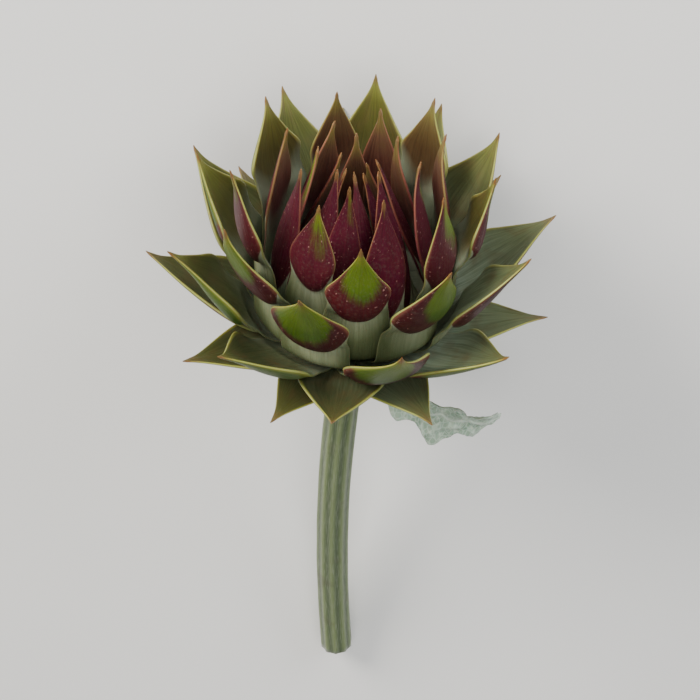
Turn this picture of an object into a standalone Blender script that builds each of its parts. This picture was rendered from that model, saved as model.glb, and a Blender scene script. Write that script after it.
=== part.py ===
"""A cut artichoke lying on a table: one open flower head on its stem, with a small leaf under the head.

Bracts are built in the head's own frame: radius from the axis, azimuth round it and height along it,
with azimuth 0 on the side that faces up. Each next bract, from the innermost outwards, sits one golden
angle further round and one step lower. The head is then laid down with its stem towards +Y.
The model is in metres, +Z up, and rests on the plane z = 0.
"""

from math import atan2, cos, hypot, pi, radians, sin, sqrt, tan

import bmesh
import bpy
from mathutils import Matrix, Vector

MM = 0.001

# Driving dimensions, in millimetres and degrees.
BRACT_COUNT = 54
INNER_COUNT = 18
MIDDLE_COUNT = 18
FIRST_AZIMUTH = 64.0
GOLDEN_ANGLE = 137.508
AXIS_TILT = 14.4
HEAD_BASE = (-1.6, -51.7, 59.5)
STEM_END = (-1.6, 142.3)
STEM_RADIUS = 6.4
STEM_RIBS = 10
RIB_DEPTH = 0.4
STEM_SIDES = 30
STEM_RINGS = 13
STEM_REACH = 62.0
CUT_END_SLOPE = 11.0
BOWL_CENTRE = 24.0
BOWL_RADIUS = 49.2
BOWL_DEPTH = 25.0
STEP_INWARD = 0.45
WIDEST_ARC = 26.0
LEAF_DROP = 26.0
LEAF_SPREAD = 66.0
LEAF_HALF_WIDTH = 12.0
LEAF_LOBES = 3.5
FLOOR_GAP = 0.0

# Growth along the spiral: (bract number, value), from the innermost to the outermost.
HEART_RADIUS = ((0, 20.0), (53, 9.4))
WALL_TOP = ((0, 30), (13, 36), (19, 42), (24, 47), (28, 40), (32, 31), (35, 24))
WALL_LEAN = ((0, -22), (8, -13), (13, -7), (18, -1), (24, 3), (32, 4))
BEND_ANGLE = ((0, 90), (32, 90), (37, 77), (45, 42), (53, 17))
CHIN_ANGLE = ((0, 0), (13, 0), (18, 10), (24, 36), (32, 36), (37, 30), (45, 16), (53, 8))
TIP_RADIUS = ((0, 2.5), (8, 11.5), (18, 30), (33, 63), (43, 73.5), (53, 60))
TIP_HEIGHT = ((0, 78), (8, 86), (18, 87), (28, 77), (38, 52), (48, 20), (53, 9))
TIP_LEAN = ((0, -22), (13, -8), (23, 2), (38, 28), (53, 80))
LOWER_REACH = ((0, 16), (13, 16), (24, 10), (32, 10), (53, 12))
UPPER_REACH = ((0, 20), (18, 20), (24, 18), (32, 17), (45, 14), (53, 12))
HALF_WIDTH = ((0, 5.5), (8, 7.0), (13, 7.8), (19, 9.0), (25, 12.3), (28, 13.6), (33, 15.2), (40, 16.5),
              (53, 15.5))
CUP = ((0, 0.02), (18, 0.05), (24, 0.14), (32, 0.24), (40, 0.3), (47, 0.26), (53, 0.1))
BOW = ((0, 0.0), (16, 2.0), (24, 8.0), (35, 8.0), (41, 5.0), (53, 2.0))
CLAW_HALF_WIDTH = ((0, 6.5), (13, 10), (24, 12.5), (32, 13.5), (40, 13), (53, 8))
STRETCH = ((0, 1.2), (19, 1.12), (25, 1.0), (53, 1.0))
# Bracts that stand off the even spiral: (turned round the axis, tip further out, tip higher, foot higher).
UNEVEN = {19: (5, 0, 2, 11), 22: (16, 6, 8, 6), 27: (2, 9, 8, 2), 32: (0, -3, 3, 2)}

# The heart and the neck of the stem under it: (height in the head, radius).
HEART = ((22.0, 16.6), (21.0, 18.1), (14.0, 14.9), (6.0, 11.6), (-0.7, 9.0), (-4.0, 8.4), (-10.0, 7.4),
         (-18.0, 6.6))

# The leaf's middle line from its base: (distance out from the stem, height above its base).
LEAF_LINE = ((0.0, 0.0), (8.0, 1.5), (18.0, 4.0), (29.0, 6.5), (40.0, 6.0), (50.0, 2.5), (58.0, -4.0))
LEAF_OUTLINE = ((0.0, 0.16), (0.12, 0.2), (0.3, 0.7), (0.5, 1.0), (0.75, 0.8), (0.92, 0.42), (1.0, 0.1))
LEAF_ROWS = 9
LEAF_FLESH = 1.1

# Along one bract: (distance from the tip in blade lengths, value).
OUTLINE = ((0.0, 0.045), (0.1, 0.14), (0.24, 0.36), (0.42, 0.66), (0.6, 0.9), (0.76, 1.0), (1.0, 0.92),
           (1.3, 0.9))
FLESH = ((0.0, 0.9), (0.2, 1.4), (0.6, 2.0), (0.9, 2.0), (1.12, 1.35), (2.2, 1.2))
CUPPED = ((0.0, 0.9), (0.35, 1.0), (0.7, 0.75), (1.0, 0.12), (1.15, 0.0))
BOWED = ((0.0, 0.0), (0.4, 0.0), (0.95, 1.0), (1.1, 0.9), (1.8, 0.0))
MARGIN_FLESH = 0.5
BLADE_ROWS = (0.0, 0.13, 0.32, 0.58, 0.82, 1.0)
BOWL_ROWS = (16, 12, 7, 0)
COLUMNS = 4
PROFILE_STEPS = 20

# name: (sRGB colour, roughness)
MATERIALS = {
    "inner_bract_wine": ("5a1a33", 0.45),
    "middle_bract_green": ("7f9440", 0.5),
    "outer_bract_olive": ("6c7a45", 0.55),
    "stem_green": ("5a6b33", 0.6),
    "leaf_grey_green": ("7d8c72", 0.65),
}


def linear(byte):
    """One sRGB channel, 0 to 255, as linear light."""
    value = byte / 255
    return value / 12.92 if value <= 0.04045 else ((value + 0.055) / 1.055) ** 2.4


def make_material(name):
    colour, roughness = MATERIALS[name]
    material = bpy.data.materials.new(name)
    material.use_nodes = True
    shader = material.node_tree.nodes["Principled BSDF"]
    channels = [linear(int(colour[i : i + 2], 16)) for i in (0, 2, 4)]
    shader.inputs["Base Color"].default_value = (*channels, 1.0)
    shader.inputs["Roughness"].default_value = roughness
    shader.inputs["Metallic"].default_value = 0.0
    return material


def along(table, x):
    """The value at x on the smooth curve through the table's points, level at both ends."""
    if x <= table[0][0]:
        return table[0][1]
    if x >= table[-1][0]:
        return table[-1][1]
    i = next(i for i in range(len(table) - 1) if x < table[i + 1][0])
    (x0, y0), (x1, y1) = table[i], table[i + 1]
    before, after = table[max(i - 1, 0)], table[min(i + 2, len(table) - 1)]
    slope0 = (y1 - before[1]) / (x1 - before[0])
    slope1 = (after[1] - y0) / (after[0] - x0)
    step, t = x1 - x0, (x - x0) / (x1 - x0)
    rise = y1 - y0 if y1 != y0 else 0.0
    steepest = 3 * abs(rise) / step
    slope0 = max(-steepest, min(steepest, slope0))
    slope1 = max(-steepest, min(steepest, slope1))
    a = step * slope0 - rise
    b = rise - step * slope1
    return y0 + rise * t + t * (1 - t) * (a * (1 - t) + b * t)


def bezier(p0, p1, p2, p3, t):
    u = 1 - t
    return tuple(
        u ** 3 * a + 3 * u * u * t * b + 3 * u * t * t * c + t ** 3 * d
        for a, b, c, d in zip(p0, p1, p2, p3)
    )


def profile(number):
    """The bract's curve in (radius, height), as a bowl from its base, an upright wall, and a blade."""
    _, further, higher, foot = UNEVEN.get(number, (0, 0, 0, 0))
    depth = (BRACT_COUNT - 1 - number) * STEP_INWARD
    wide, deep = BOWL_RADIUS - depth, BOWL_DEPTH - depth
    bend = radians(along(BEND_ANGLE, number))
    ratio = (along(HEART_RADIUS, number) + 0.9) / wide
    base = atan2(ratio, sqrt(1 - ratio * ratio))
    turns = [base + (bend - base) * i / PROFILE_STEPS for i in range(PROFILE_STEPS + 1)]
    bowl = [(wide * sin(turn), BOWL_CENTRE - deep * cos(turn)) for turn in turns]
    leave = atan2(wide * cos(bend), deep * sin(bend))
    rise = along(WALL_TOP, number) + foot - BOWL_CENTRE
    wall = []
    if rise > 0:
        leave = radians(along(WALL_LEAN, number))
        shares = [i / 6 for i in range(1, 7)]
        wall = [(wide + rise * share * share * tan(leave), BOWL_CENTRE + rise * share) for share in shares]
    start = (bowl + wall)[-1]
    leave += radians(along(CHIN_ANGLE, number))
    lean = radians(along(TIP_LEAN, number))
    tip = (along(TIP_RADIUS, number) + further, along(TIP_HEIGHT, number) + higher)
    low, high = along(LOWER_REACH, number), along(UPPER_REACH, number)
    out = (start[0] + low * sin(leave), start[1] + low * cos(leave))
    back = (tip[0] - high * sin(lean), tip[1] - high * cos(lean))
    blade = [bezier(start, out, back, tip, i / PROFILE_STEPS) for i in range(1, PROFILE_STEPS + 1)]
    return bowl, wall, blade


def measured_from_tip(points):
    """The profile as (distance from the tip, radius, height), starting at the tip."""
    found = [(0.0, *points[-1])]
    for r, h in reversed(points[:-1]):
        distance, last_r, last_h = found[-1]
        found.append((distance + hypot(r - last_r, h - last_h), r, h))
    return found


def at_distance(measured, distance):
    """(radius, height) at this distance from the tip."""
    distance = max(0.0, min(distance, measured[-1][0]))
    for (d0, r0, h0), (d1, r1, h1) in zip(measured, measured[1:]):
        if distance <= d1:
            t = (distance - d0) / (d1 - d0)
            return r0 + (r1 - r0) * t, h0 + (h1 - h0) * t
    return measured[-1][1:]


class Bract:
    """One bract's shape: where its middle surface and its thickness are, at any place on it."""

    def __init__(self, number):
        self.number = number
        self.azimuth = radians(FIRST_AZIMUTH - GOLDEN_ANGLE * number + UNEVEN.get(number, (0,))[0])
        bowl, wall, blade = profile(number)
        self.measured = measured_from_tip(bowl + wall + blade)
        self.blade = self.measured[len(blade)][0]
        lower = self.measured[len(blade) + len(wall) :]
        self.claw_rows = [lower[0][0]] if wall else []
        self.claw_rows += [lower[len(bowl) - 1 - i][0] for i in BOWL_ROWS]
        self.half_width = along(HALF_WIDTH, number)
        self.cup = along(CUP, number)
        self.bow = along(BOW, number)
        self.stretch = along(STRETCH, number)
        self.claw_half_width = along(CLAW_HALF_WIDTH, number)
        self.lift = 0.0

    def rows(self):
        return [share * self.blade for share in BLADE_ROWS] + self.claw_rows

    def place(self, distance, across):
        """A point on the middle surface, in the head's frame: across runs from -1 to 1."""
        share = distance / self.blade
        up = distance - self.bow * along(BOWED, share) * across * across
        r, h = at_distance(self.measured, up)
        near, far = at_distance(self.measured, up - 1), at_distance(self.measured, up + 1)
        tangent = Vector((near[0] - far[0], near[1] - far[1])).normalized()
        width = self.half_width * along(OUTLINE, share * self.stretch)
        width += (self.claw_half_width - width) * max(0.0, min(1.0, (share - 1) / 0.35))
        width = min(width, r * radians(WIDEST_ARC) + max(0.0, 3.0 - share * 6))
        inward = self.cup * width * along(CUPPED, share) * across * across
        inward += self.lift * max(0.0, 1.15 - share) ** 1.6
        r += -tangent.y * inward
        h += tangent.x * inward
        turn = across * width / max(r, 1.2 * width)
        return Vector((r * cos(turn), r * sin(turn), h))

    def thickness(self, distance, across):
        return along(FLESH, distance / self.blade) * (1 - MARGIN_FLESH * abs(across) ** 3)


def head_to_world():
    """The head's frame in the world: its axis points to -Y and up, and azimuth 0 faces up."""
    tilt = radians(AXIS_TILT)
    up_side = Vector((0, sin(tilt), cos(tilt)))
    right_side = Vector((-1, 0, 0))
    axis = Vector((0, -cos(tilt), sin(tilt)))
    turned = Matrix((up_side, right_side, axis)).transposed().to_4x4()
    return Matrix.Translation(HEAD_BASE) @ turned


HEAD = head_to_world()


def lowest(bract):
    """The height above the floor of the bract's lowest place, in mm."""
    turned = Matrix.Rotation(bract.azimuth, 4, "Z")
    return min(
        (HEAD @ turned @ bract.place(distance, across)).z - bract.thickness(distance, across) / 2
        for distance in bract.rows()
        for across in (-1, -0.5, 0, 0.5, 1)
    )


def settle(bract):
    """A bract that the floor would cut is bent up until it just rests there."""
    for _ in range(12):
        short = FLOOR_GAP - lowest(bract)
        if abs(short) < 0.01 or (short < 0 and bract.lift == 0):
            return
        bract.lift = max(0.0, bract.lift + short)


def link(obj, material):
    obj.data.materials.append(material)
    bpy.data.collections["artichoke"].objects.link(obj)
    return obj


def sheet(name, rows, columns, place, thickness, material):
    """An open sheet of rows by columns, given its thickness by Solidify."""
    mesh = bpy.data.meshes.new(name)
    shape = bmesh.new()
    bmesh.ops.create_grid(shape, x_segments=columns, y_segments=len(rows) - 1, size=1)
    deform = shape.verts.layers.deform.verify()
    most = max(thickness(row, 0) for row in rows)
    for vert in shape.verts:
        across = vert.co.x
        row = rows[round((vert.co.y + 1) / 2 * (len(rows) - 1))]
        vert[deform][0] = thickness(row, across) / most
        vert.co = place(row, across) * MM
    shape.to_mesh(mesh)
    shape.free()
    obj = link(bpy.data.objects.new(name, mesh), material)
    obj.vertex_groups.new(name="flesh")
    solid = obj.modifiers.new("thickness", "SOLIDIFY")
    solid.thickness = most * MM
    solid.offset = 0.0
    solid.vertex_group = "flesh"
    solid.use_rim = True
    return obj


def make_bract(number, name, material):
    bract = Bract(number)
    settle(bract)
    onto = HEAD @ Matrix.Rotation(bract.azimuth, 4, "Z")
    return sheet(name, bract.rows(), COLUMNS, lambda d, x: onto @ bract.place(d, x),
                 bract.thickness, material)


def stem_path():
    """(centre, direction) at equal steps down the stem, from under the neck to the cut end."""
    slope = radians(CUT_END_SLOPE)
    down = HEAD.to_3x3() @ Vector((0, 0, -1))
    start = HEAD @ Vector((0, 0, HEART[-1][0]))
    end = Vector((*STEM_END, FLOOR_GAP + (STEM_RADIUS + RIB_DEPTH) * cos(slope)))
    out = start + down * STEM_REACH + Vector((5, 0, 0))
    back = end - Vector((-0.08, cos(slope), -sin(slope))) * STEM_REACH
    path = []
    for i in range(1, STEM_RINGS + 1):
        near, here, far = (Vector(bezier(start, out, back, end, t / STEM_RINGS))
                           for t in (i - 0.5, i, min(i + 0.5, STEM_RINGS)))
        path.append((here, (far - near).normalized()))
    return path


def ring_frame(centre, direction):
    """A matrix that stands a ring of the stem at its place, square to the stem."""
    side = Vector((-1, 0, 0))
    up = side.cross(direction).normalized()
    side = direction.cross(up)
    return Matrix.Translation(centre) @ Matrix((up, side, direction)).transposed().to_4x4()


def stem_rings():
    """(frame, radius, rib depth) from the heart's top to the cut end."""
    down = HEAD.to_3x3() @ Vector((0, 0, -1))
    rings = []
    for height, radius in HEART:
        fade = max(0.0, min(1.0, (2 - height) / 20))
        rings.append((ring_frame(HEAD @ Vector((0, 0, height)), down), radius, RIB_DEPTH * fade))
    for centre, direction in stem_path():
        rings.append((ring_frame(centre, direction), STEM_RADIUS, RIB_DEPTH))
    return rings


def set_ring(verts, frame, radius, depth):
    for i, vert in enumerate(verts):
        turn = 2 * pi * i / STEM_SIDES
        reach = radius + depth * cos(STEM_RIBS * turn)
        vert.co = frame @ Vector((reach * cos(turn), reach * sin(turn), 0)) * MM


def make_stem(name, material):
    """The stem and the heart that the bracts grow from, as one solid: a ring drawn out from end to end."""
    shape = bmesh.new()
    rings = stem_rings()
    made = bmesh.ops.create_circle(shape, cap_ends=False, segments=STEM_SIDES, radius=1)
    verts = sorted(made["verts"], key=lambda v: atan2(v.co.y, v.co.x) % (2 * pi))
    set_ring(verts, *rings[0])
    edges = list(shape.edges)
    top = list(edges)
    for ring in rings[1:]:
        made = bmesh.ops.extrude_edge_only(shape, edges=edges)["geom"]
        fresh = {g for g in made if isinstance(g, bmesh.types.BMVert)}
        verts = [next(e.other_vert(v) for e in v.link_edges if e.other_vert(v) in fresh) for v in verts]
        edges = [g for g in made if isinstance(g, bmesh.types.BMEdge) and all(v in fresh for v in g.verts)]
        set_ring(verts, *ring)
    bmesh.ops.holes_fill(shape, edges=top + edges, sides=0)
    bmesh.ops.recalc_face_normals(shape, faces=shape.faces)
    mesh = bpy.data.meshes.new(name)
    shape.to_mesh(mesh)
    shape.free()
    return link(bpy.data.objects.new(name, mesh), material)


def leaf_place(share, across):
    """A point on the small leaf's middle surface: share runs from its base to its tip."""
    steps = len(LEAF_LINE) - 1
    table = [[(i / steps, point[axis]) for i, point in enumerate(LEAF_LINE)] for axis in (0, 1)]
    forward, rise = along(table[0], share), along(table[1], share)
    notch = 0.78 + 0.22 * cos(2 * pi * LEAF_LOBES * share)
    width = LEAF_HALF_WIDTH * along(LEAF_OUTLINE, share) * (1 - (1 - notch) * min(1.0, 3 * share))
    wave = 1.6 * sin(9 * share + 2.5 * across) * across * across * share
    fold = 0.45 * width * abs(across) ** 1.5
    return Vector((across * width, forward, rise + fold + wave))


def leaf_to_world():
    """The leaf's frame in the world: it grows from the stem's right side, and its face looks up."""
    spread = radians(LEAF_SPREAD)
    forward = Vector((0, sin(spread), -cos(spread)))
    across = Vector((0, cos(spread), sin(spread)))
    turned = Matrix((across, forward, Vector((1, 0, 0)))).transposed().to_4x4()
    return HEAD @ Matrix.Translation((0, STEM_RADIUS + RIB_DEPTH + 0.4, -LEAF_DROP)) @ turned


def make_leaf(name, material):
    onto = leaf_to_world()
    rows = [i / LEAF_ROWS for i in range(LEAF_ROWS + 1)]
    return sheet(name, rows, COLUMNS, lambda d, x: onto @ leaf_place(d, x),
                 lambda d, x: LEAF_FLESH * (1 - 0.3 * abs(x)), material)


def build():
    for obj in list(bpy.data.objects):
        bpy.data.objects.remove(obj, do_unlink=True)
    collection = bpy.data.collections.new("artichoke")
    bpy.context.scene.collection.children.link(collection)
    materials = {name: make_material(name) for name in MATERIALS}
    for number in range(BRACT_COUNT):
        if number < INNER_COUNT:
            name, slot = f"inner_bract_{number + 1:02d}", "inner_bract_wine"
        elif number < INNER_COUNT + MIDDLE_COUNT:
            name, slot = f"middle_bract_{number + 1 - INNER_COUNT:02d}", "middle_bract_green"
        else:
            name = f"outer_bract_{number + 1 - INNER_COUNT - MIDDLE_COUNT:02d}"
            slot = "outer_bract_olive"
        make_bract(number, name, materials[slot])
    make_stem("stem_and_heart", materials["stem_green"])
    make_leaf("stem_leaf", materials["leaf_grey_green"])


build()
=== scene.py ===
"""A cut artichoke lying on a pale table: an open head of pointed bracts, its ribbed stem and a small leaf.

Each bract is drawn in the head's own frame, as radius from the axis, azimuth round it and height along it,
with azimuth 0 on the side that faces up. The sizes in millimetres are the ones the solid model is built to.
"""

from bisect import bisect_left
from math import atan2, cos, pi, radians, sin, sqrt, tan

import bmesh
import bpy
from mathutils import Matrix, Vector, noise


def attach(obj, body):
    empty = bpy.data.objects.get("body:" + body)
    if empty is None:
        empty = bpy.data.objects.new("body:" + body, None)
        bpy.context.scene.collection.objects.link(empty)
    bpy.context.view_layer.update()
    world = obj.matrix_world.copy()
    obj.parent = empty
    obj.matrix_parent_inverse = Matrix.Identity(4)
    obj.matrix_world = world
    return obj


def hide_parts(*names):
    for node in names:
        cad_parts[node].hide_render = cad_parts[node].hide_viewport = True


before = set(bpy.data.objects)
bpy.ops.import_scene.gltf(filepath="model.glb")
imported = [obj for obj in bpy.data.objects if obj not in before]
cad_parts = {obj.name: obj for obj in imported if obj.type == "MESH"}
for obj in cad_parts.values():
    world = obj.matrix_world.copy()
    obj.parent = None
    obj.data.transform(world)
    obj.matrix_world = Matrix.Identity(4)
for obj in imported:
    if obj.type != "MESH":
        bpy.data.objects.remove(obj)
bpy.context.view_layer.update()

MM = 0.001

# The bracts from the innermost outwards: (kind, how many, a finish name that the build does not use).
BRACT_KINDS = (
    ("inner_bract", 18, "inner_bract_wine"),
    ("middle_bract", 18, "middle_bract_green"),
    ("outer_bract", 18, "outer_bract_olive"),
)
BRACT_COUNT = sum(count for _, count, _ in BRACT_KINDS)

# The head, its stem and the leaf, in millimetres and degrees.
FIRST_AZIMUTH = 64.0
GOLDEN_ANGLE = 137.508
AXIS_TILT = 14.4
HEAD_BASE = (-1.6, -51.7, 59.5)
STEM_END = (-1.6, 142.3)
STEM_RADIUS = 6.4
STEM_RIBS = 10
RIB_DEPTH = 0.4
STEM_REACH = 62.0
STEM_SWING = 5.0
STEM_SIDES = 80
STEM_STEPS = 70
NECK_RADIUS = 6.6
HEART_STEP = 1.6
HEART_RINGS = 26
CUT_END_SLOPE = 11.0
CUT_RINGS = (0.985, 0.94, 0.85, 0.7, 0.5, 0.25)
CUT_DISH = 0.5
CUT_ROUGHNESS = 0.12
BOWL_CENTRE = 24.0
BOWL_RADIUS = 49.2
BOWL_DEPTH = 25.0
STEP_INWARD = 0.45
HEART_CLEARANCE = 0.9
WIDEST_ARC = 26.0
LEAF_DROP = 26.0
LEAF_SPREAD = 66.0
LEAF_HALF_WIDTH = 12.0
LEAF_LOBES = 3.5
LEAF_ROWS = 60
LEAF_COLUMNS = 28
LEAF_FLESH = 2.6
LEAF_ROOT = 4.0
LEAF_GAP = 0.4
LEAF_VEIN_STEP = 7.5
LEAF_WAVE = 1.6
LEAF_FOLD = 0.45
LEAF_CRUMPLES = ((2.6, 0.2), (1.1, 0.5), (0.4, 1.1))

# Growth along the spiral: (bract number, value), from the innermost to the outermost.
HEART_RADIUS = ((0, 20.0), (53, 9.4))
WALL_TOP = ((0, 30), (13, 36), (19, 42), (24, 47), (28, 40), (32, 31), (35, 24))
WALL_LEAN = ((0, -22), (8, -13), (13, -7), (18, -1), (24, 3), (32, 4))
BEND_ANGLE = ((0, 90), (32, 90), (37, 77), (45, 42), (53, 17))
CHIN_ANGLE = ((0, 0), (13, 0), (18, 10), (24, 36), (32, 36), (37, 30), (45, 16), (53, 8))
TIP_RADIUS = ((0, 2.5), (8, 11.5), (18, 30), (33, 63), (43, 73.5), (53, 60))
TIP_HEIGHT = ((0, 78), (8, 86), (18, 87), (28, 77), (38, 52), (48, 20), (53, 9))
TIP_LEAN = ((0, -22), (13, -8), (23, 2), (38, 28), (53, 80))
LOWER_REACH = ((0, 16), (13, 16), (24, 10), (32, 10), (53, 12))
UPPER_REACH = ((0, 20), (18, 20), (24, 18), (32, 17), (45, 14), (53, 12))
HALF_WIDTH = ((0, 5.5), (8, 7.0), (13, 7.8), (19, 9.0), (25, 12.3), (28, 13.6), (33, 15.2), (40, 16.5),
              (53, 15.5))
CUP = ((0, 0.02), (18, 0.05), (24, 0.14), (32, 0.24), (40, 0.3), (47, 0.26), (53, 0.1))
BOW = ((0, 0.0), (16, 2.0), (24, 8.0), (35, 8.0), (41, 5.0), (53, 2.0))
CLAW_HALF_WIDTH = ((0, 6.5), (13, 10), (24, 12.5), (32, 13.5), (40, 13), (53, 8))
STRETCH = ((0, 1.2), (19, 1.12), (25, 1.0), (53, 1.0))
# Bracts that stand off the even spiral: (turned round the axis, tip further out, tip higher, foot higher).
UNEVEN = {19: (5, 0, 2, 11), 22: (16, 6, 8, 6), 27: (2, 9, 8, 2), 32: (0, -3, 3, 2)}

# Colour along the spiral: where the wine red starts, how red and how grey the inner face is.
WINE_START = ((0, -0.3), (17, -0.15), (19, 0.1), (22, 0.12), (24, 0.5), (29, 0.53), (33, 0.48), (38, 0.6),
              (45, 0.82), (53, 0.95))
CLAW_START = ((0, 1.03), (32, 1.03), (38, 1.2), (53, 1.25))
WINE_BLUR = ((0, 0.3), (17, 0.4), (21, 0.45), (24, 0.2), (53, 0.14))
INSIDE_RED = ((0, 1.0), (18, 1.0), (20, 0.8), (23, 0.6), (25, 0.25), (33, 0.0))
INSIDE_GREY = ((0, 0.0), (28, 0.0), (36, 0.85), (53, 1.0))
# The wine band's edge: how far it climbs at the bract's sides, and how far chance tips and shifts it.
WINE_AT_SIDES = 0.34
WINE_TIPPED = 0.5
WINE_SHIFTED = 0.15
# Painted light: the outer bracts' inner faces are greyed to silver more on the head's right side, which the
# light reaches: the least and the rest of it.
LIT_SIDE_LEAST, LIT_SIDE_REST = 0.15, 0.85

# Along one bract: (distance from the tip in blade lengths, value).
OUTLINE = ((0.0, 0.045), (0.1, 0.14), (0.24, 0.36), (0.42, 0.66), (0.6, 0.9), (0.76, 1.0), (1.0, 0.92),
           (1.3, 0.9))
FLESH = ((0.0, 0.9), (0.2, 1.4), (0.6, 2.0), (0.88, 2.3), (1.0, 1.9), (1.12, 1.35), (2.2, 1.2))
CUPPED = ((0.0, 0.9), (0.35, 1.0), (0.7, 0.75), (1.0, 0.12), (1.15, 0.0))
BOWED = ((0.0, 0.0), (0.4, 0.0), (0.95, 1.0), (1.1, 0.9), (1.8, 0.0))
MARGIN_FLESH = 0.5
# The boss that the blade's foot makes over the claw, by bract number and then along the bract.
BOSS_HEIGHT = ((0, 0.0), (17, 0.15), (21, 0.7), (24, 1.3), (36, 1.3), (43, 0.7), (53, 0.3))
BOSS = ((0.35, 0.0), (0.8, 0.9), (0.92, 1.0), (1.0, 0.8), (1.07, 0.0))
BOSS_ROUNDING = 0.24
SPINE_LENGTH = 2.2
SPINE_HALF_WIDTH = 0.16
SPINE_FLESH = 0.3
TIP_FLESH = 0.9
LEAST_HALF_WIDTH = 0.7
CLAW_BLEND = 0.35
KEEL = 0.35
RIPPLE = 0.35
# How far chance moves a bract: its tip sideways and inward in millimetres, and its middle off centre.
SWAY = 2.4
HOOK = 1.6
LOPSIDED = 0.1
BLADE_ROWS = (0.0, 0.03, 0.07, 0.12, 0.18, 0.24, 0.31, 0.38, 0.45, 0.52, 0.59, 0.66, 0.73, 0.79, 0.85, 0.9,
              0.94, 0.97, 1.0, 1.03, 1.06, 1.1)
CLAW_STEP = 2.6
COLUMNS = 12
PROFILE_STEPS = 60
WALL_STEPS = 12
# A bract that is bent up to rest on the table stops within this of it, or after so many tries.
REST_WITHIN = 0.02
REST_TRIES = 12

# The heart and the neck of the stem under it: (height in the head, radius).
HEART = ((22.0, 16.6), (21.0, 18.1), (14.0, 14.9), (6.0, 11.6), (-0.7, 9.0), (-4.0, 8.4), (-10.0, 7.4),
         (-18.0, 6.6))
LEAF_LINE = ((0.0, 0.0), (8.0, 1.5), (18.0, 4.0), (29.0, 6.5), (40.0, 6.0), (50.0, 2.5), (58.0, -4.0))
LEAF_OUTLINE = ((0.0, 0.3), (0.06, 0.2), (0.12, 0.2), (0.3, 0.7), (0.5, 1.0), (0.75, 0.8), (0.92, 0.42),
                (1.0, 0.1))

# The camera, in degrees and metres, and the lights: (name, place, target, side, watts, colour).
VIEW_ELEVATION = 46.8
VIEW_DISTANCE = 0.9
VIEW_HEIGHT = 0.262
VIEW_CENTRE = -0.008
VIEW_LEAN = 2.5
SENSOR_WIDTH = 36.0
LIGHTS = (
    ("window_left", (1.05, -1.15, 0.75), (0.0, -0.06, 0.06), 0.7, 40.0, "fffaf2"),
    ("window_right", (-0.95, -1.05, 0.55), (0.0, -0.06, 0.06), 0.8, 13.0, "f4f8ff"),
    ("ceiling", (-0.1, -0.5, 1.5), (0.0, 0.0, 0.05), 1.2, 16.0, "fffdf8"),
)
SKY_COLOUR = "e9edf2"
SKY_STRENGTH = 0.38
TABLE_HALF_SIDE = 3.0


def luck(number, salt):
    """A repeatable number from 0 to 1 for a bract."""
    return noise.cell(Vector((number * 7.31 + salt * 3.17, salt * 11.9 + 0.5, number + 0.5)))


def along(table, x):
    """The value at x on the smooth curve through the table's points, level at both ends."""
    if x <= table[0][0]:
        return table[0][1]
    if x >= table[-1][0]:
        return table[-1][1]
    i = next(i for i in range(len(table) - 1) if x < table[i + 1][0])
    (x0, y0), (x1, y1) = table[i], table[i + 1]
    before, after = table[max(i - 1, 0)], table[min(i + 2, len(table) - 1)]
    slope0 = (y1 - before[1]) / (x1 - before[0])
    slope1 = (after[1] - y0) / (after[0] - x0)
    step, t = x1 - x0, (x - x0) / (x1 - x0)
    rise = y1 - y0
    steepest = 3 * abs(rise) / step
    slope0 = max(-steepest, min(steepest, slope0))
    slope1 = max(-steepest, min(steepest, slope1))
    a = step * slope0 - rise
    b = rise - step * slope1
    return y0 + rise * t + t * (1 - t) * (a * (1 - t) + b * t)


def bezier(p0, p1, p2, p3, t):
    """The point at t on the curve from p0 to p3 that sets out towards p1 and arrives from p2."""
    u = 1 - t
    return tuple(
        u ** 3 * a + 3 * u * u * t * b + 3 * u * t * t * c + t ** 3 * d
        for a, b, c, d in zip(p0, p1, p2, p3)
    )


def profile(number):
    """The bract's curve in (radius, height), as a bowl from its base, an upright wall, and a blade."""
    _, further, higher, foot = UNEVEN.get(number, (0, 0, 0, 0))
    depth = (BRACT_COUNT - 1 - number) * STEP_INWARD
    wide, deep = BOWL_RADIUS - depth, BOWL_DEPTH - depth
    bend = radians(along(BEND_ANGLE, number))
    ratio = (along(HEART_RADIUS, number) + HEART_CLEARANCE) / wide
    base = atan2(ratio, sqrt(1 - ratio * ratio))
    turns = [base + (bend - base) * i / PROFILE_STEPS for i in range(PROFILE_STEPS + 1)]
    bowl = [(wide * sin(turn), BOWL_CENTRE - deep * cos(turn)) for turn in turns]
    leave = atan2(wide * cos(bend), deep * sin(bend))
    rise = along(WALL_TOP, number) + foot - BOWL_CENTRE
    wall = []
    if rise > 0:
        leave = radians(along(WALL_LEAN, number))
        shares = [i / WALL_STEPS for i in range(1, WALL_STEPS + 1)]
        wall = [(wide + rise * share * share * tan(leave), BOWL_CENTRE + rise * share) for share in shares]
    start = (bowl + wall)[-1]
    leave += radians(along(CHIN_ANGLE, number))
    lean = radians(along(TIP_LEAN, number))
    tip = (along(TIP_RADIUS, number) + further, along(TIP_HEIGHT, number) + higher)
    low, high = along(LOWER_REACH, number), along(UPPER_REACH, number)
    out = (start[0] + low * sin(leave), start[1] + low * cos(leave))
    back = (tip[0] - high * sin(lean), tip[1] - high * cos(lean))
    blade = [bezier(start, out, back, tip, i / PROFILE_STEPS) for i in range(1, PROFILE_STEPS + 1)]
    return bowl, wall, blade


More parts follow.
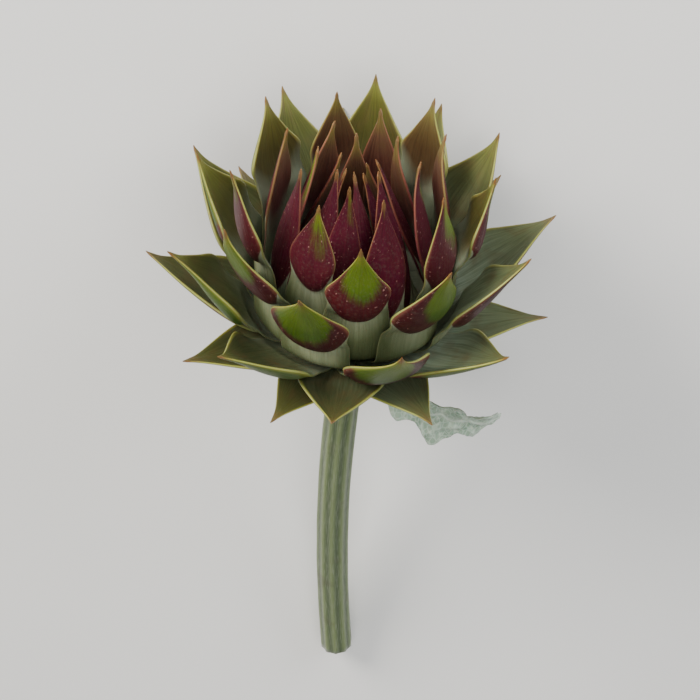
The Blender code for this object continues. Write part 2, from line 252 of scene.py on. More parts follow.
class Curve:
    """A curve that is measured in millimetres from its first point, and runs straight on past it."""

    def __init__(self, points):
        self.points = [Vector(point) for point in points]
        self.marks = [0.0]
        for near, far in zip(self.points, self.points[1:]):
            self.marks.append(self.marks[-1] + (far - near).length)

    def at(self, distance):
        i = min(max(bisect_left(self.marks, distance), 1), len(self.marks) - 1)
        t = (min(distance, self.marks[-1]) - self.marks[i - 1]) / (self.marks[i] - self.marks[i - 1])
        return self.points[i - 1].lerp(self.points[i], t)


class Bract:
    """One bract's shape and colour bands, at any place on it."""

    def __init__(self, number):
        self.number = number
        self.azimuth = radians(FIRST_AZIMUTH - GOLDEN_ANGLE * number + UNEVEN.get(number, (0,))[0])
        bowl, wall, blade = profile(number)
        self.curve = Curve(list(reversed(bowl + wall + blade)))
        self.blade = self.curve.marks[len(blade)]
        self.length = self.curve.marks[-1]
        self.half_width = along(HALF_WIDTH, number)
        self.cup = along(CUP, number)
        self.bow = along(BOW, number)
        self.stretch = along(STRETCH, number)
        self.claw_half_width = along(CLAW_HALF_WIDTH, number)
        self.boss = along(BOSS_HEIGHT, number)
        self.lift = 0.0
        self.sway = SWAY * (luck(number, 1) - 0.5)
        self.hook = HOOK * (luck(number, 2) - 0.5)
        self.lopsided = LOPSIDED * (luck(number, 3) - 0.5)

    def rows(self):
        """How far from the tip each row of the grid lies, from the spine's point to the end of the claw."""
        spine = [-SPINE_LENGTH * share for share in (1.0, 0.7, 0.4, 0.15)]
        blade = [share * self.blade for share in BLADE_ROWS]
        left = self.length - blade[-1]
        steps = max(4, round(left / CLAW_STEP))
        claw = [blade[-1] + left * (i + 1) / steps for i in range(steps)]
        return spine + blade + claw

    def width(self, distance, r):
        """Half the bract's width here, held to an arc of the head where it stands close to the axis."""
        share = distance / self.blade
        if share < 0:
            grown = (1 + distance / SPINE_LENGTH) ** 1.5
            return SPINE_HALF_WIDTH + (LEAST_HALF_WIDTH - SPINE_HALF_WIDTH) * grown
        width = self.half_width * along(OUTLINE, share * self.stretch)
        width += (self.claw_half_width - width) * max(0.0, min(1.0, (share - 1) / CLAW_BLEND))
        return max(LEAST_HALF_WIDTH, min(width, r * radians(WIDEST_ARC) + max(0.0, 3.0 - share * 6)))

    def boss_at(self, distance, across):
        """How far the outer face stands out over the foot of the blade."""
        rounded = distance / self.blade + BOSS_ROUNDING * across * across
        return self.boss * along(BOSS, rounded) * (1 - abs(across) ** 3)

    def place(self, distance, across):
        """A point on the middle surface, in the head's frame: across runs from -1 to 1."""
        share = distance / self.blade
        up = distance - self.bow * along(BOWED, share) * across * across
        r, h = self.curve.at(up)
        near, far = self.curve.at(up - 1), self.curve.at(up + 1)
        tangent = (near - far).normalized()
        width = self.width(distance, r)
        ripple = sin(5 * share + 9 * self.sway + 3 * across) * across * across
        inward = self.cup * width * along(CUPPED, share) * across * across
        inward += self.lift * max(0.0, 1.15 - share) ** 1.6
        inward += self.hook * max(0.0, 1 - share / 0.3) ** 2
        inward += RIPPLE * ripple * min(1.0, share) - self.boss_at(distance, across)
        r += -tangent.y * inward
        h += tangent.x * inward
        sideways = across * width * (1 + self.lopsided * across)
        sideways += self.sway * max(0.0, 0.7 - share) ** 2
        turn = sideways / max(r, 1.2 * width)
        return Vector((r * cos(turn), r * sin(turn), h))

    def thickness(self, distance, across):
        """The flesh through the bract here, with a keel along the middle of the blade."""
        if distance < 0:
            return TIP_FLESH + (TIP_FLESH - SPINE_FLESH) * distance / SPINE_LENGTH
        share = distance / self.blade
        keel = KEEL * max(0.0, 1 - abs(across) * 3) * max(0.0, 1 - share)
        flesh = along(FLESH, share) * (1 - MARGIN_FLESH * abs(across) ** 3) + keel
        return flesh + 2 * self.boss_at(distance, across)

    def bands(self, distance, across):
        """How far the place is into the wine red band and into the pale claw, in blade lengths."""
        share = distance / self.blade
        lean = WINE_TIPPED * (luck(self.number, 4) - 0.5)
        wine = share + WINE_AT_SIDES * across * across + lean * across - along(WINE_START, self.number)
        wine += WINE_SHIFTED * (luck(self.number, 5) - 0.5)
        claw = share + BOSS_ROUNDING * across * across - along(CLAW_START, self.number)
        return wine / along(WINE_BLUR, self.number), claw


def head_to_world():
    """The head's frame in the world: its axis points to -Y and up, and azimuth 0 faces up."""
    tilt = radians(AXIS_TILT)
    up_side = Vector((0, sin(tilt), cos(tilt)))
    right_side = Vector((-1, 0, 0))
    axis = Vector((0, -cos(tilt), sin(tilt)))
    turned = Matrix((up_side, right_side, axis)).transposed().to_4x4()
    return Matrix.Translation(HEAD_BASE) @ turned


HEAD = head_to_world()


def settle(bract, onto):
    """A bract that the table would cut is bent up until it just rests there."""
    rows = bract.rows()[::3]
    for _ in range(REST_TRIES):
        lowest = min(
            (onto @ bract.place(row, across)).z - bract.thickness(row, across) / 2
            for row in rows for across in (-1, -0.5, 0, 0.5, 1)
        )
        if abs(lowest) < REST_WITHIN or (lowest > 0 and bract.lift == 0):
            return
        bract.lift = max(0.0, bract.lift - lowest)


# --- materials -----------------------------------------------------------------------------------


def srgb(text):
    """A colour written as sRGB hex, as linear light."""
    values = [int(text[i : i + 2], 16) / 255 for i in (0, 2, 4)]
    return (*(v / 12.92 if v <= 0.04045 else ((v + 0.055) / 1.055) ** 2.4 for v in values), 1.0)


def node(tree, kind, links=None, stops=None, **settings):
    """A new shader node of this kind: its settings, its sockets linked or set, and its ramp's stops.
    Hex text set on a socket is a colour."""
    made = tree.nodes.new("ShaderNode" + kind)
    for name, value in settings.items():
        setattr(made, name, value)
    for socket, value in (links or {}).items():
        if isinstance(value, bpy.types.NodeSocket):
            tree.links.new(value, made.inputs[socket])
        else:
            made.inputs[socket].default_value = srgb(value) if isinstance(value, str) else value
    if stops:
        elements = made.color_ramp.elements
        while len(elements) < len(stops):
            elements.new(1.0)
        for element, (position, colour) in zip(elements, stops):
            element.position = position
            element.color = srgb(colour)
    return made


# The Mix node's sockets when it mixes colours.
MIX_FACTOR, MIX_A, MIX_B, MIX_OUT = 0, 6, 7, 2


def new_material(name, roughness, **sockets):
    """(material, tree, shader) with the finish's constants set on the shader's own sockets."""
    material = bpy.data.materials.new(name)
    material.use_nodes = True
    tree = material.node_tree
    shader = tree.nodes["Principled BSDF"]
    shader.inputs["Roughness"].default_value = roughness
    for socket, value in sockets.items():
        shader.inputs[socket.replace("_", " ")].default_value = value
    return material, tree, shader


def painted(tree, colour, *coats):
    """The colour with each (factor, coat) laid over it in turn."""
    for factor, coat in coats:
        mixed = node(tree, "Mix", {MIX_FACTOR: factor, MIX_A: colour, MIX_B: coat}, data_type="RGBA")
        colour = mixed.outputs[MIX_OUT]
    return colour


def finish_surface(tree, shader, colour, height, strength, depth):
    """Gives the shader its colour and a relief of this strength, depth metres deep."""
    bump = node(tree, "Bump", {"Height": height, "Strength": strength, "Distance": depth})
    tree.links.new(colour, shader.inputs["Base Color"])
    tree.links.new(bump.outputs["Normal"], shader.inputs["Normal"])


def bract_outside():
    """Living artichoke skin, outer face: waxy and a little glossy, yellow green that turns wine red towards
    the blade's foot and pale grey green on the claw, darkened towards its base as painted shade, with fine
    ridges along it and pale flecks."""
    material, tree, shader = new_material(
        "waxy_bract_skin_outer_face", 0.45, Subsurface_Weight=0.1, Subsurface_Scale=0.002,
        Coat_Weight=0.03, Coat_Roughness=0.35, Specular_IOR_Level=0.25)
    skin = node(tree, "Attribute", attribute_name="skin").outputs["Vector"]
    share, wine, claw, age, edge = (
        node(tree, "Attribute", attribute_name=name).outputs["Fac"]
        for name in ("share", "wine", "claw", "age", "edge"))
    # Blotches 8 mm across, and streaks 0.9 mm wide that run the bract's length.
    blotch = node(tree, "TexNoise", {"Vector": skin, "Scale": 0.12, "Detail": 3.0}).outputs["Fac"]
    along_it = node(tree, "Mapping", {"Vector": skin, "Scale": (1.1, 0.07, 1.0)}).outputs["Vector"]
    streak = node(tree, "TexNoise", {"Vector": along_it, "Scale": 1.0, "Detail": 4.0}).outputs["Fac"]
    # A thin wax bloom greys the skin in patches.
    wax = node(tree, "TexNoise", {"Vector": skin, "Scale": 0.9, "Detail": 6.0}).outputs["Fac"]
    # How much each of these shows, from none at its low value to the most at its high one.
    streaky, cloudy, bloom, old, tip, rim = (
        node(tree, "MapRange", {"Value": value, "From Min": low, "From Max": high,
                                "To Max": most}).outputs[0]
        for value, low, high, most in (
            (streak, 0.38, 0.68, 0.4), (blotch, 0.4, 0.75, 0.4), (wax, 0.5, 0.8, 0.22),
            (age, 0.66, 0.85, 1.0), (share, 0.06, 0.015, 0.8), (edge, 0.88, 1.0, 0.75)))
    fresh, dull = (
        node(tree, "ValToRGB", {"Fac": share}, stops=stops).outputs["Color"] for stops in (
            ((0.0, "755a33"), (0.05, "74741c"), (0.2, "576a0c"), (0.6, "395206"), (1.0, "2f4409")),
            ((0.0, "6a5230"), (0.07, "666c30"), (0.5, "4b5c30"), (1.0, "475a38"))))
    cloud = painted(tree, "5a6a14", (old, "57673a"))
    green = painted(tree, fresh, (old, dull), (streaky, "2c3d12"), (cloudy, cloud))
    deep = node(tree, "ValToRGB", {"Fac": age}, stops=(
        (0.0, "480b23"), (0.3, "4c0d22"), (0.45, "410d15"), (0.7, "321112"))).outputs["Color"]
    deep = painted(tree, deep, (streaky, "2c0710"), (cloudy, "511e20"))
    # The wine's border wanders with the blotches and breaks up along the streaks.
    ragged = node(tree, "Math", {0: blotch, 1: 1.1, 2: wine}, operation="MULTIPLY_ADD").outputs[0]
    ragged = node(tree, "Math", {0: streak, 1: 0.9, 2: ragged}, operation="MULTIPLY_ADD").outputs[0]
    red = node(tree, "MapRange", {"Value": ragged, "From Min": 0.75, "From Max": 1.75},
               interpolation_type="SMOOTHSTEP").outputs[0]
    # Flecks 0.5 mm across where the skin is scuffed, thickest along the sides.
    jog = node(tree, "TexNoise", {"Vector": skin, "Scale": 1.6, "Detail": 3.0}).outputs["Color"]
    jogged = node(tree, "VectorMath", {0: jog, 1: (1.1, 1.6, 0.0), 2: skin},
                  operation="MULTIPLY_ADD").outputs[0]
    cells = node(tree, "TexVoronoi", {"Vector": jogged, "Scale": 0.8, "Randomness": 1.0}, feature="F1")
    drawn = node(tree, "SeparateColor", {"Color": cells.outputs["Color"]})
    size = node(tree, "MapRange", {"Value": drawn.outputs["Green"], "To Min": 0.1,
                "To Max": 0.34}).outputs[0]
    near = node(tree, "Math", {0: size, 1: cells.outputs["Distance"]}, operation="SUBTRACT").outputs[0]
    near = node(tree, "MapRange", {"Value": near, "From Max": 0.12}).outputs[0]
    sides = node(tree, "MapRange", {"Value": edge, "To Min": 0.93, "To Max": 0.5}).outputs[0]
    chosen = node(tree, "Math", {0: drawn.outputs["Red"], 1: sides}, operation="GREATER_THAN").outputs[0]
    fleck = node(tree, "Math", {0: near, 1: chosen}, operation="MULTIPLY").outputs[0]
    on_wine = node(tree, "MapRange", {"Value": red, "To Min": 0.08, "To Max": 0.7}).outputs[0]
    fleck = node(tree, "Math", {0: fleck, 1: on_wine}, operation="MULTIPLY").outputs[0]
    rim_colour = painted(tree, "817f36", (red, "744837"))
    # The claw is palest under the blade's foot and darker towards its base: painted shade where it lies
    # deep between the bracts.
    pale = node(tree, "ValToRGB", {"Fac": claw}, stops=(
        (0.0, "9aa088"), (0.15, "878e70"), (0.4, "5c6444"), (0.8, "464d30"))).outputs["Color"]
    pale = painted(tree, pale, (streaky, "4d5636"))
    foot = node(tree, "Math", {0: blotch, 1: 0.06, 2: claw}, operation="MULTIPLY_ADD").outputs[0]
    foot = node(tree, "MapRange", {"Value": foot, "From Min": 0.015, "From Max": 0.06},
                interpolation_type="SMOOTHSTEP").outputs[0]
    colour = painted(tree, green, (red, deep), (tip, "73552e"), (fleck, "a87c74"), (bloom, "6c6d5b"),
                     (rim, rim_colour), (foot, pale))
    # Ridges 0.9 mm apart along the bract and a fine grain under them.
    grain = node(tree, "TexNoise", {"Vector": skin, "Scale": 2.2, "Detail": 2.0}).outputs["Fac"]
    height = node(tree, "Math", {0: grain, 1: 0.35, 2: streak}, operation="MULTIPLY_ADD").outputs[0]
    height = node(tree, "Math", {0: fleck, 1: 0.6, 2: height}, operation="MULTIPLY_ADD").outputs[0]
    finish_surface(tree, shader, colour, height, 0.6, 0.0005)
    shine = node(tree, "MapRange", {"Value": bloom, "To Min": 0.5, "To Max": 0.95}).outputs[0]
    tree.links.new(shine, shader.inputs["Roughness"])
    return material


def bract_inside():
    """Living artichoke skin, inner face: smooth and satin, olive to tan, wine on the inner bracts; on the
    outer ones a dark olive that is painted shade, and a silver green that is painted light on the head's
    right side; with faint parallel veins."""
    material, tree, shader = new_material(
        "smooth_bract_skin_inner_face", 0.45, Subsurface_Weight=0.1, Subsurface_Scale=0.002,
        Coat_Weight=0.1, Coat_Roughness=0.3)
    skin = node(tree, "Attribute", attribute_name="skin").outputs["Vector"]
    share, red, grey, age, edge, claw = (
        node(tree, "Attribute", attribute_name=name).outputs["Fac"]
        for name in ("share", "inside_red", "inside_grey_lit", "age", "edge", "claw"))
    # Stains 10 mm across, and veins 0.8 mm apart.
    blotch = node(tree, "TexNoise", {"Vector": skin, "Scale": 0.1, "Detail": 3.0}).outputs["Fac"]
    along_it = node(tree, "Mapping", {"Vector": skin, "Scale": (1.3, 0.05, 1.0)}).outputs["Vector"]
    streak = node(tree, "TexNoise", {"Vector": along_it, "Scale": 1.0, "Detail": 3.0}).outputs["Fac"]
    olive, shaded_olive, mauve, silver = (
        node(tree, "ValToRGB", {"Fac": share}, stops=stops).outputs["Color"] for stops in (
            ((0.0, "7b672f"), (0.05, "7f8232"), (0.22, "5c6120"), (0.55, "454919"), (1.0, "53562f")),
            ((0.0, "6b5a2c"), (0.12, "4c4c1e"), (0.55, "3b3d1c"), (1.0, "474a2c")),
            ((0.0, "8a7048"), (0.06, "7d703a"), (0.24, "6a4d38"), (0.55, "5a362c"), (1.0, "4c1a26")),
            ((0.0, "736236"), (0.1, "6a7148"), (0.6, "7d8a6e"), (1.0, "98a690"))))
    old, dark, stain, rim, foot = (
        node(tree, "MapRange", {"Value": value, "From Min": low, "From Max": high,
                                "To Max": most}).outputs[0]
        for value, low, high, most in (
            (age, 0.64, 0.82, 1.0), (streak, 0.4, 0.66, 0.45), (blotch, 0.5, 0.72, 0.5),
            (edge, 0.9, 1.0, 0.8), (claw, -0.2, 0.12, 1.0)))
    vein = painted(tree, "282f0f", (red, "331117"))
    rim_colour = painted(tree, "858338", (red, "7b533b"))
    # On old bracts the inner face takes a dark olive that is painted shade, and a silver green that is
    # painted light.
    colour = painted(tree, olive, (old, shaded_olive), (grey, silver), (red, mauve), (dark, vein),
                     (stain, "5d4b2e"), (rim, rim_colour), (foot, "717862"))
    finish_surface(tree, shader, colour, streak, 0.5, 0.0004)
    return material


def bract_margin():
    """The bract's thick rim: pale cream green and smooth, browner at the spine, pinker on young bracts."""
    material, tree, shader = new_material("pale_bract_margin", 0.4, Subsurface_Weight=0.15,
                                          Subsurface_Scale=0.002)
    skin = node(tree, "Attribute", attribute_name="skin").outputs["Vector"]
    share, age = (node(tree, "Attribute", attribute_name=name).outputs["Fac"] for name in ("share", "age"))
    ripe, young = (
        node(tree, "ValToRGB", {"Fac": share}, stops=stops).outputs["Color"] for stops in (
            ((0.0, "7a522a"), (0.03, "96893a"), (0.12, "999f44"), (0.5, "90944a"), (0.95, "767c48"),
             (1.0, "666d4c")),
            ((0.0, "916a42"), (0.15, "915f49"), (0.5, "713839"), (1.0, "4c182a"))))
    mottle = node(tree, "TexNoise", {"Vector": skin, "Scale": 0.35, "Detail": 2.0}).outputs["Fac"]
    grown, worn = (
        node(tree, "MapRange", {"Value": value, "From Min": low, "From Max": high,
                                "To Max": most}).outputs[0]
        for value, low, high, most in ((age, 0.28, 0.42, 1.0), (mottle, 0.55, 0.75, 0.5)))
    colour = painted(tree, young, (grown, ripe), (worn, "7d5f3d"))
    tree.links.new(colour, shader.inputs["Base Color"])
    return material


def stem_skin():
    """Living stem: ribbed, mid green in the grooves and paler on the ribs, under thin grey wool that lies
    along it, so it looks matt and streaked."""
    material, tree, shader = new_material("woolly_ribbed_stem_skin", 0.7, Sheen_Weight=0.25,
                                          Sheen_Roughness=0.5)
    skin = node(tree, "Attribute", attribute_name="skin").outputs["Vector"]
    rib = node(tree, "Attribute", attribute_name="rib").outputs["Fac"]
    base = node(tree, "ValToRGB", {"Fac": rib}, stops=(
        (0.0, "36461d"), (0.5, "4c5d2d"), (1.0, "647340"))).outputs["Color"]
    # Wool fibres 0.25 mm apart, lying along the stem.
    fibres = node(tree, "Mapping", {"Vector": skin, "Scale": (3.4, 3.4, 0.16)}).outputs["Vector"]
    wool = node(tree, "TexNoise", {"Vector": fibres, "Scale": 1.0, "Detail": 4.0}).outputs["Fac"]
    patch = node(tree, "TexNoise", {"Vector": skin, "Scale": 0.09, "Detail": 3.0}).outputs["Fac"]
    woolly, bruise = (
        node(tree, "MapRange", {"Value": value, "From Min": low, "From Max": high,
                                "To Max": most}).outputs[0]
        for value, low, high, most in ((wool, 0.48, 0.72, 0.6), (patch, 0.56, 0.72, 0.5)))
    colour = painted(tree, base, (woolly, "7d846b"), (bruise, "41401e"))
    finish_surface(tree, shader, colour, wool, 0.6, 0.0003)
    return material


def cut_pith():
    """The stem's fresh cut: damp cream pith with a greener ring of strands, browning at the rim."""
    material, tree, shader = new_material("cut_stem_pith", 0.5, Subsurface_Weight=0.1,
                                          Subsurface_Scale=0.002)
    skin = node(tree, "Attribute", attribute_name="skin").outputs["Vector"]
    reach = node(tree, "Attribute", attribute_name="reach").outputs["Fac"]
    rings = node(tree, "ValToRGB", {"Fac": reach}, stops=(
        (0.0, "c3c29a"), (0.62, "b9bb8a"), (0.74, "8c9a58"), (0.84, "a5a974"), (0.97, "6b7038"),
        (1.0, "6a5a34"))).outputs["Color"]
    strand = node(tree, "TexVoronoi", {"Vector": skin, "Scale": 1.1}).outputs["Distance"]
    spot = node(tree, "MapRange", {"Value": strand, "From Min": 0.1, "From Max": 0.3, "To Min": 0.55,
                "To Max": 0.0}).outputs[0]
    stain = node(tree, "TexNoise", {"Vector": skin, "Scale": 0.3, "Detail": 3.0}).outputs["Fac"]
    stain = node(tree, "MapRange", {"Value": stain, "From Min": 0.5, "From Max": 0.75,
                 "To Max": 0.5}).outputs[0]
    colour = painted(tree, rings, (spot, "8d8a5a"), (stain, "8a6f42"))
    finish_surface(tree, shader, colour, strand, 0.5, 0.0004)
    return material


def leaf_face(name, vein, field, rough):
    """Artichoke leaf: dull grey green between a net of paler veins, puckered; the underside is woolly."""
    material, tree, shader = new_material(name, rough, Subsurface_Weight=0.1, Subsurface_Scale=0.001,
                                          Sheen_Weight=0.2)
    skin = node(tree, "Attribute", attribute_name="skin").outputs["Vector"]
    ridge = node(tree, "Attribute", attribute_name="vein").outputs["Fac"]
    # The net's meshes are 1.8 mm across.
    net = node(tree, "TexVoronoi", {"Vector": skin, "Scale": 0.55}, feature="DISTANCE_TO_EDGE")
    fine = node(tree, "MapRange", {"Value": net.outputs["Distance"], "From Max": 0.12, "To Min": 0.55,
                "To Max": 0.0}).outputs[0]
    blotch = node(tree, "TexNoise", {"Vector": skin, "Scale": 0.18, "Detail": 4.0}).outputs["Fac"]
    stops = ((0.3, field[0]), (0.7, field[1]))
    ground = node(tree, "ValToRGB", {"Fac": blotch}, stops=stops).outputs["Color"]
    colour = painted(tree, ground, (fine, vein), (ridge, vein))
    wool = node(tree, "TexNoise", {"Vector": skin, "Scale": 3.0, "Detail": 3.0}).outputs["Fac"]
    height = node(tree, "Math", {0: fine, 1: -0.8, 2: wool}, operation="MULTIPLY_ADD").outputs[0]
    finish_surface(tree, shader, colour, height, 0.6, 0.0004)
    return material


def table_top():
    """A matt off-white painted table: even, with a barely seen mottle."""
    material, tree, shader = new_material("matt_off_white_table", 0.85)
    place = node(tree, "TexCoord").outputs["Object"]
    mottle = node(tree, "TexNoise", {"Vector": place, "Scale": 6.0, "Detail": 2.0}).outputs["Fac"]
    tint = node(tree, "ValToRGB", {"Fac": mottle}, stops=((0.3, "ebeae7"), (0.7, "efeeeb")))
    tree.links.new(tint.outputs["Color"], shader.inputs["Base Color"])
    return material


BRACT_MATERIALS = (bract_outside(), bract_inside(), bract_margin())
STEM_MATERIALS = (stem_skin(), cut_pith())
LEAF_MATERIALS = (leaf_face("woolly_leaf_underside", "d0dccb", ("78927a", "abbda6"), 0.8),
                  leaf_face("dull_leaf_upper_face", "8c9a7a", ("4c5c40", "637254"), 0.6))


# --- pieces --------------------------------------------------------------------------------------


def finish_piece(shape, name, node_name, materials):
    """The bmesh as a piece that rides on the root body and stands for its CAD node."""
    mesh = bpy.data.meshes.new(name)
    shape.to_mesh(mesh)
    shape.free()
    piece = bpy.data.objects.new(name, mesh)
    bpy.context.scene.collection.objects.link(piece)
    for material in materials:
        mesh.materials.append(material)
    mesh.polygons.foreach_set("use_smooth", [True] * len(mesh.polygons))
    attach(piece, "root")
    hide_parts(node_name)
    return piece


def give_flesh(piece, thickest, sides):
    """Thickness, with the other face and the rim in their own materials, then one smoothing."""
    piece.vertex_groups.new(name="flesh")
    flesh = piece.modifiers.new("flesh", "SOLIDIFY")
    flesh.thickness = thickest * MM
    flesh.offset = 0.0
    flesh.vertex_group = "flesh"
    flesh.material_offset, flesh.material_offset_rim = sides
    smooth = piece.modifiers.new("smooth", "SUBSURF")
    smooth.levels = smooth.render_levels = 1


def make_bract(number):
    """(shape, thickest place): the bract's middle surface, marked with its flesh and its colour bands."""
    bract = Bract(number)
    onto = HEAD @ Matrix.Rotation(bract.azimuth, 4, "Z")
    settle(bract, onto)
    rows = bract.rows()
    shape = bmesh.new()
    bmesh.ops.create_grid(shape, x_segments=COLUMNS, y_segments=len(rows) - 1, size=1)
    layers = shape.verts.layers
    deform, skin = layers.deform.verify(), layers.float_vector.new("skin")
    # Painted light: the inner face's silver grey is weighted to the head's right side, where the light
    # falls.
    lit_side = LIT_SIDE_LEAST + LIT_SIDE_REST * max(0.0, sin(bract.azimuth))
    same_all_over = {
        "age": number / (BRACT_COUNT - 1),
        "inside_red": along(INSIDE_RED, number),
        "inside_grey_lit": along(INSIDE_GREY, number) * lit_side,
    }
    marks = {key: layers.float.new(key) for key in ("share", "wine", "claw", "edge", *same_all_over)}
    thickest = max(bract.thickness(row, 0) for row in rows) + 0.01
    for vert in shape.verts:
        across = vert.co.x
        row = rows[round((vert.co.y + 1) / 2 * (len(rows) - 1))]
        wine, claw = bract.bands(row, across)
        values = {"share": max(0.0, row / bract.blade), "wine": wine, "claw": claw, "edge": abs(across)}
        for key, value in (values | same_all_over).items():
            vert[marks[key]] = value
        vert[skin] = Vector((across * bract.half_width, row, number * 31.7))
        vert[deform][0] = bract.thickness(row, across) / thickest
        vert.co = onto @ bract.place(row, across) * MM
    bmesh.ops.recalc_face_normals(shape, faces=shape.faces)
    outwards = onto.to_3x3() @ Vector((1, 0, -0.6))
    if sum((face.normal * face.calc_area() for face in shape.faces), Vector()).dot(outwards) < 0:
        bmesh.ops.reverse_faces(shape, faces=shape.faces)
    return shape, thickest


def build_bracts():
    number = 0
    for kind, count, slot in BRACT_KINDS:
        for i in range(1, count + 1):
            node_name = f"{kind}_{i:02d}"
            shape, thickest = make_bract(number)
            piece = finish_piece(shape, node_name + "_skin", node_name, BRACT_MATERIALS)
            give_flesh(piece, thickest, (1, 2))
            number += 1


def stem_line():
    """(centre, direction, radius, rib depth) of each ring, from the heart's top to the cut end."""
    down = HEAD.to_3x3() @ Vector((0, 0, -1))
    slope = radians(CUT_END_SLOPE)
    start = HEAD @ Vector((0, 0, HEART[-1][0]))
    end = Vector((*STEM_END, (STEM_RADIUS + RIB_DEPTH) * cos(slope)))
    out = start + down * STEM_REACH + Vector((STEM_SWING, 0, 0))
    back = end - Vector((-0.08, cos(slope), -sin(slope))) * STEM_REACH
    rings = []
    outline = sorted((h, r) for h, r in HEART)
    for height in (HEART[0][0] - i * HEART_STEP for i in range(HEART_RINGS)):
        if height <= HEART[-1][0] + 1:
            break
        ribbed = max(0.0, min(1.0, (2 - height) / 20))
        rings.append((HEAD @ Vector((0, 0, height)), down, along(outline, height), RIB_DEPTH * ribbed))
    for i in range(STEM_STEPS + 1):
        near, here, far = (
            Vector(bezier(start, out, back, end, max(0, min(1, t / STEM_STEPS))))
            for t in (i - 0.5, i, i + 0.5)
        )
        radius = NECK_RADIUS + (STEM_RADIUS - NECK_RADIUS) * min(1.0, i / 6)
        rings.append((here, (far - near).normalized(), radius, RIB_DEPTH))
    return rings


def ring_frame(centre, direction):
    """A matrix that stands a ring of the stem at its place, square to the stem."""
    side = Vector((-1, 0, 0))
    up = side.cross(direction).normalized()
    side = direction.cross(up)
    return Matrix.Translation(centre) @ Matrix((up, side, direction)).transposed().to_4x4()


def set_ring(verts, layers, ring, distance):
    """Puts one ring of the stem in its place, ribbed and a little uneven."""
    centre, direction, radius, depth = ring
    place = ring_frame(centre, direction)
    for i, vert in enumerate(verts):
        turn = 2 * pi * i / STEM_SIDES
        groove = abs(sin(STEM_RIBS * turn / 2)) ** 1.5
        lump = 0.12 * noise.noise(Vector((cos(turn) * 1.5, sin(turn) * 1.5, distance * 0.06)))
        reach = radius + depth * (1.35 - 1.6 * groove) * 0.74 + lump
        vert.co = place @ Vector((reach * cos(turn), reach * sin(turn), 0)) * MM
        vert[layers["skin"]] = Vector((radius * cos(turn), radius * sin(turn), distance))
        vert[layers["rib"]] = 0.5 + 0.5 * cos(STEM_RIBS * turn)
        vert[layers["reach"]] = 1.0


def next_ring(shape, verts, edges):
    """The open ring extruded once: (verts, edges) of the new one, its verts in the old ones' order."""
    made = bmesh.ops.extrude_edge_only(shape, edges=edges)["geom"]
    fresh = {g for g in made if isinstance(g, bmesh.types.BMVert)}
    verts = [next(e.other_vert(v) for e in v.link_edges if e.other_vert(v) in fresh) for v in verts]
    edges = [g for g in made if isinstance(g, bmesh.types.BMEdge) and all(v in fresh for v in g.verts)]
    return verts, edges


def build_stem():
    shape = bmesh.new()
    bmesh.ops.create_circle(shape, cap_ends=False, segments=STEM_SIDES, radius=1)
    layers = {key: shape.verts.layers.float.new(key) for key in ("rib", "reach")}
    layers["skin"] = shape.verts.layers.float_vector.new("skin")
    verts = sorted(shape.verts, key=lambda v: atan2(v.co.y, v.co.x) % (2 * pi))
    edges = top = list(shape.edges)
    rings = stem_line()
    distance = 0.0
    set_ring(verts, layers, rings[0], distance)
    for before, ring in zip(rings, rings[1:]):
        distance += (ring[0] - before[0]).length
        verts, edges = next_ring(shape, verts, edges)
        set_ring(verts, layers, ring, distance)
    bmesh.ops.holes_fill(shape, edges=top, sides=0)
    # The cut: the last ring drawn in towards the middle in steps, a little dished, and closed.
    place = ring_frame(*rings[-1][:2])
    for share in CUT_RINGS:
        verts, edges = next_ring(shape, verts, edges)
        for i, vert in enumerate(verts):
            turn = 2 * pi * i / STEM_SIDES
            rough = noise.noise(Vector((cos(turn) * 3 * share, sin(turn) * 3 * share, 4.0)))
            lip = CUT_ROUGHNESS if share > 0.98 else 0.0
            sunk = -CUT_DISH * (1 - share * share) + CUT_ROUGHNESS * rough + lip
            reach = STEM_RADIUS * share
            vert.co = place @ Vector((reach * cos(turn), reach * sin(turn), sunk)) * MM
            vert[layers["skin"]] = Vector((reach * cos(turn), reach * sin(turn), 0))
            vert[layers["reach"]] = share
        for face in {f for v in verts for f in v.link_faces}:
            face.material_index = 1
    for face in bmesh.ops.holes_fill(shape, edges=edges, sides=0)["faces"]:
        face.material_index = 1
    bmesh.ops.recalc_face_normals(shape, faces=shape.faces)
    finish_piece(shape, "stem_and_heart_skin", "stem_and_heart", STEM_MATERIALS)


def leaf_place(share, across):
    """A point on the small leaf's middle surface: share runs from its base to its tip."""
    steps = len(LEAF_LINE) - 1
    table = [[(i / steps, point[axis]) for i, point in enumerate(LEAF_LINE)] for axis in (0, 1)]
    forward, rise = along(table[0], share), along(table[1], share)
    notch = 0.78 + 0.22 * cos(2 * pi * LEAF_LOBES * share)
    width = LEAF_HALF_WIDTH * along(LEAF_OUTLINE, share) * (1 - (1 - notch) * min(1.0, 3 * share))
    wave = LEAF_WAVE * sin(9 * share + 2.5 * across) * across * across * share
    fold = LEAF_FOLD * width * abs(across) ** 1.5
    spot = Vector((across * width, forward, 1.0))
    crumple = sum(deep * noise.noise(spot * fine) for deep, fine in LEAF_CRUMPLES)
    # The stalk runs on into the stem.
    forward -= LEAF_ROOT * max(0.0, 1 - share / 0.08)
    return Vector((across * width, forward, rise + fold + wave + crumple * min(1.0, 4 * share)))


def leaf_to_world():
    """The leaf's frame in the world: it grows from the stem's right side, and its face looks up."""
    spread = radians(LEAF_SPREAD)
    forward = Vector((0, sin(spread), -cos(spread)))
    across = Vector((0, cos(spread), sin(spread)))
    turned = Matrix((across, forward, Vector((1, 0, 0)))).transposed().to_4x4()
    base = Matrix.Translation((0, STEM_RADIUS + RIB_DEPTH + LEAF_GAP, -LEAF_DROP))
    return HEAD @ base @ turned


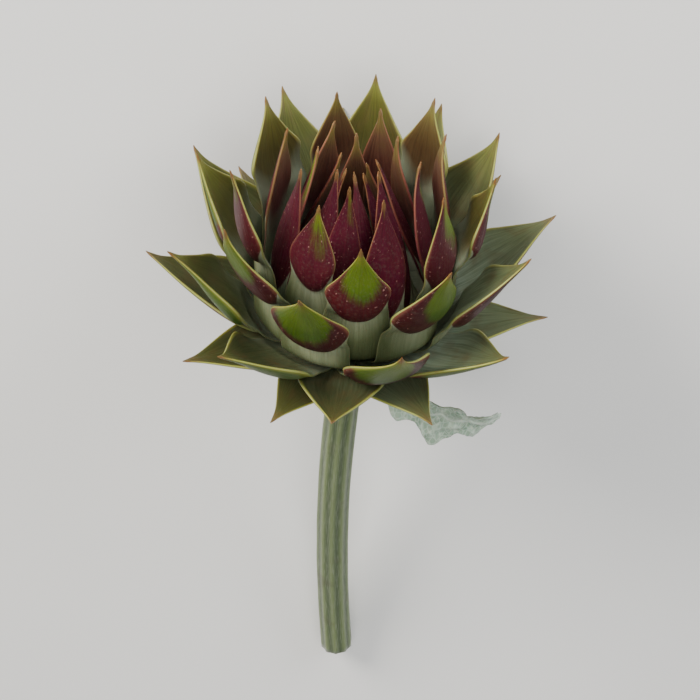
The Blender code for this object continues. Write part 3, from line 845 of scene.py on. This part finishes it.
def build_leaf():
    onto = leaf_to_world()
    shape = bmesh.new()
    bmesh.ops.create_grid(shape, x_segments=LEAF_COLUMNS, y_segments=LEAF_ROWS, size=1)
    layers = shape.verts.layers
    deform = layers.deform.verify()
    skin, vein = layers.float_vector.new("skin"), layers.float.new("vein")
    for vert in shape.verts:
        across, share = vert.co.x, (vert.co.y + 1) / 2
        place = leaf_place(share, across)
        side_vein = abs((place.y - 0.7 * abs(place.x)) / LEAF_VEIN_STEP % 1.0 - 0.5) * 2
        middle = max(0.0, 1 - abs(place.x) / 1.1)
        vert[vein] = max(middle, max(0.0, side_vein - 0.86) / 0.14 * 0.8)
        vert[skin] = Vector((place.x, place.y, 0.0))
        stalk = max(0.0, 1 - share / 0.3)
        flesh = 0.3 + 0.1 * vert[vein] + 0.6 * stalk * stalk
        vert[deform][0] = (1 - 0.5 * abs(across)) * flesh
        vert.co = onto @ place * MM
    bmesh.ops.recalc_face_normals(shape, faces=shape.faces)
    if sum(face.normal.z * face.calc_area() for face in shape.faces) < 0:
        bmesh.ops.reverse_faces(shape, faces=shape.faces)
    piece = finish_piece(shape, "stem_leaf_skin", "stem_leaf", LEAF_MATERIALS)
    give_flesh(piece, LEAF_FLESH, (1, 1))


# --- the table, the light and the camera ----------------------------------------------------------


def build_stage():
    shape = bmesh.new()
    bmesh.ops.create_grid(shape, x_segments=1, y_segments=1, size=TABLE_HALF_SIDE)
    mesh = bpy.data.meshes.new("table_top")
    shape.to_mesh(mesh)
    shape.free()
    mesh.materials.append(table_top())
    table = bpy.data.objects.new("table_top", mesh)
    bpy.context.scene.collection.objects.link(table)
    world = bpy.data.worlds.new("soft_room")
    world.use_nodes = True
    sky = world.node_tree.nodes["Background"]
    sky.inputs["Color"].default_value = srgb(SKY_COLOUR)
    sky.inputs["Strength"].default_value = SKY_STRENGTH
    bpy.context.scene.world = world


def build_light(name, place, target, side, power, colour):
    light = bpy.data.lights.new(name, "AREA")
    light.size = side
    light.energy = power
    light.color = srgb(colour)[:3]
    lamp = bpy.data.objects.new(name, light)
    lamp.location = place
    lamp.rotation_euler = (Vector(target) - Vector(place)).to_track_quat("-Z", "Y").to_euler()
    bpy.context.scene.collection.objects.link(lamp)


def build_camera():
    """The camera looks at the head's front from above its widest ring, with the head's tip upwards."""
    axis = (HEAD.to_3x3() @ Vector((0, 0, 1))).normalized()
    front = (HEAD.to_3x3() @ Vector((1, 0, 0))).normalized()
    elevation = radians(VIEW_ELEVATION)
    back = front * cos(elevation) + axis * sin(elevation)
    right = axis.cross(back).normalized()
    right = Matrix.Rotation(radians(VIEW_LEAN), 3, back) @ right
    up = back.cross(right)
    target = Vector(HEAD_BASE) * MM + up * VIEW_CENTRE
    data = bpy.data.cameras.new("camera")
    data.sensor_width = SENSOR_WIDTH
    data.lens = SENSOR_WIDTH * VIEW_DISTANCE / VIEW_HEIGHT
    data.clip_start, data.clip_end = 0.05, 20.0
    camera = bpy.data.objects.new("camera", data)
    place = Matrix((right, up, back)).transposed().to_4x4()
    place.translation = target + back * VIEW_DISTANCE
    camera.matrix_world = place
    bpy.context.scene.collection.objects.link(camera)
    bpy.context.scene.camera = camera


build_camera()
build_bracts()
build_stem()
build_leaf()
build_stage()
for light in LIGHTS:
    build_light(*light)
